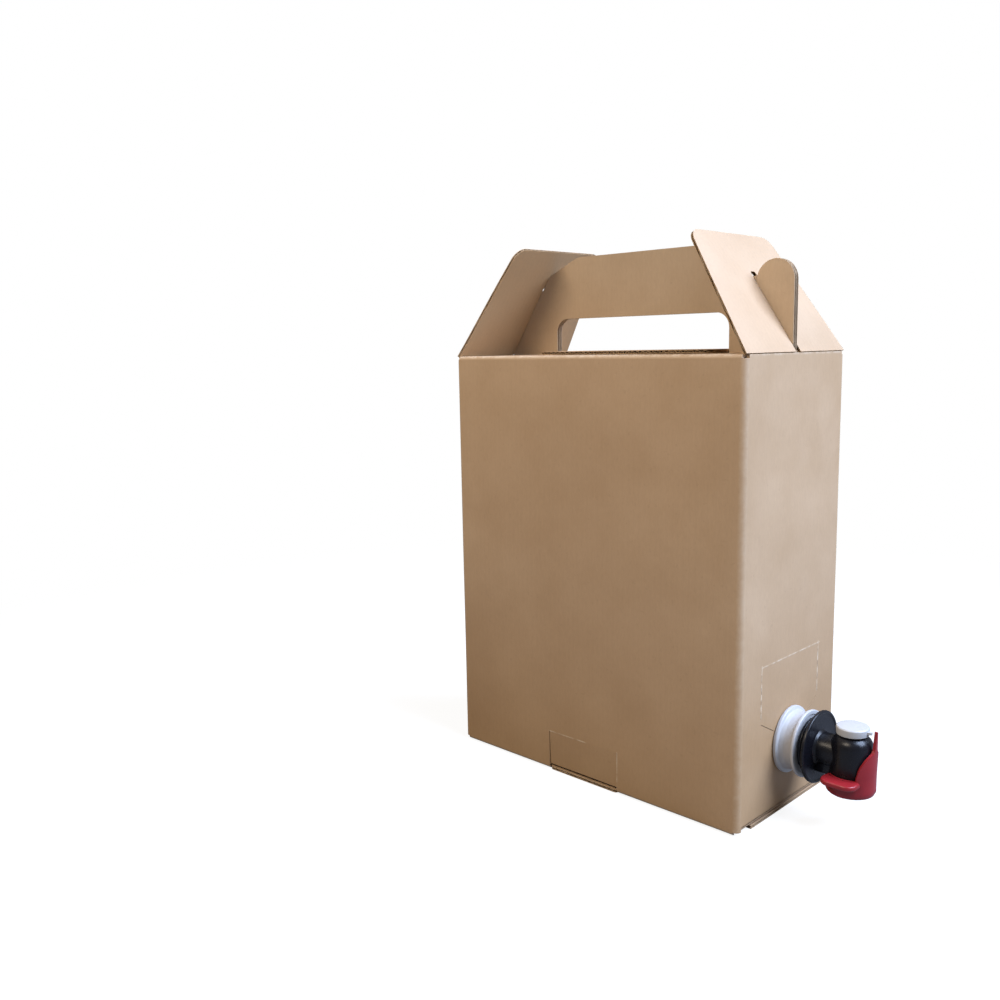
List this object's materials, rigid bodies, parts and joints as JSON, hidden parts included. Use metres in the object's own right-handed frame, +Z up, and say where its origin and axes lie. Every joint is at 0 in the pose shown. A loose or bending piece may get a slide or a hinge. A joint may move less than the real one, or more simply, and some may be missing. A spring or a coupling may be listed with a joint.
{
  "type": "bag in box carton",
  "caption": "Upright board carton with a folded carrying handle, locked end flaps and a self-closing tap for the filled bag inside.",
  "frame": {"origin": "middle of the carton's footprint, on the floor", "axes": "+Z up; +X out of the narrow wall that holds the tap; -Y out of the front wall"},
  "size_m": [0.2608, 0.1064, 0.3211],
  "materials": {
    "carton_board": "unprinted kraft liner, fluted cut edges",
    "flap_board": "unprinted kraft liner, fluted cut edges",
    "bag_film": "smooth film, slightly wrinkled",
    "white_plastic": "moulded, satin gloss",
    "white_cap": "moulded, soft, satin",
    "black_plastic": "moulded, satin gloss",
    "red_plastic": "moulded, satin",
    "valve_rubber": "soft, matt"
  },
  "bodies": {
    "carton": {"carton": "carton_board", "bag": "bag_film", "gland": "white_plastic"},
    "flap_tap_side": {"end_flap_tap_side": "flap_board"},
    "flap_far_side": {"end_flap_far_side": "flap_board"},
    "tap": {"tap_body": "black_plastic", "tap_cap": "white_cap"},
    "lever": {"tap_lever": "red_plastic", "tap_valve": "valve_rubber"}
  },
  "joints": [
    {"name": "flap_tap_side_hinge", "type": "hinge", "parent": "carton", "child": "flap_tap_side", "pos_m": [0.105, 0, 0.256], "axis": [0, 1, 0], "range_deg": [0, 200]},
    {"name": "flap_far_side_hinge", "type": "hinge", "parent": "carton", "child": "flap_far_side", "pos_m": [-0.105, 0, 0.256], "axis": [0, -1, 0], "range_deg": [0, 200]},
    {"name": "tap_swivel", "type": "hinge", "parent": "carton", "child": "tap", "pos_m": [0.105, 0, 0.0404], "axis": [1, 0, 0], "continuous": true},
    {"name": "lever_slide", "type": "slide", "parent": "tap", "child": "lever", "axis": [0, 0, 1], "range_m": [0, 0.005], "stiffness_N_per_m": 2500, "springref_m": -0.002}
  ]
}
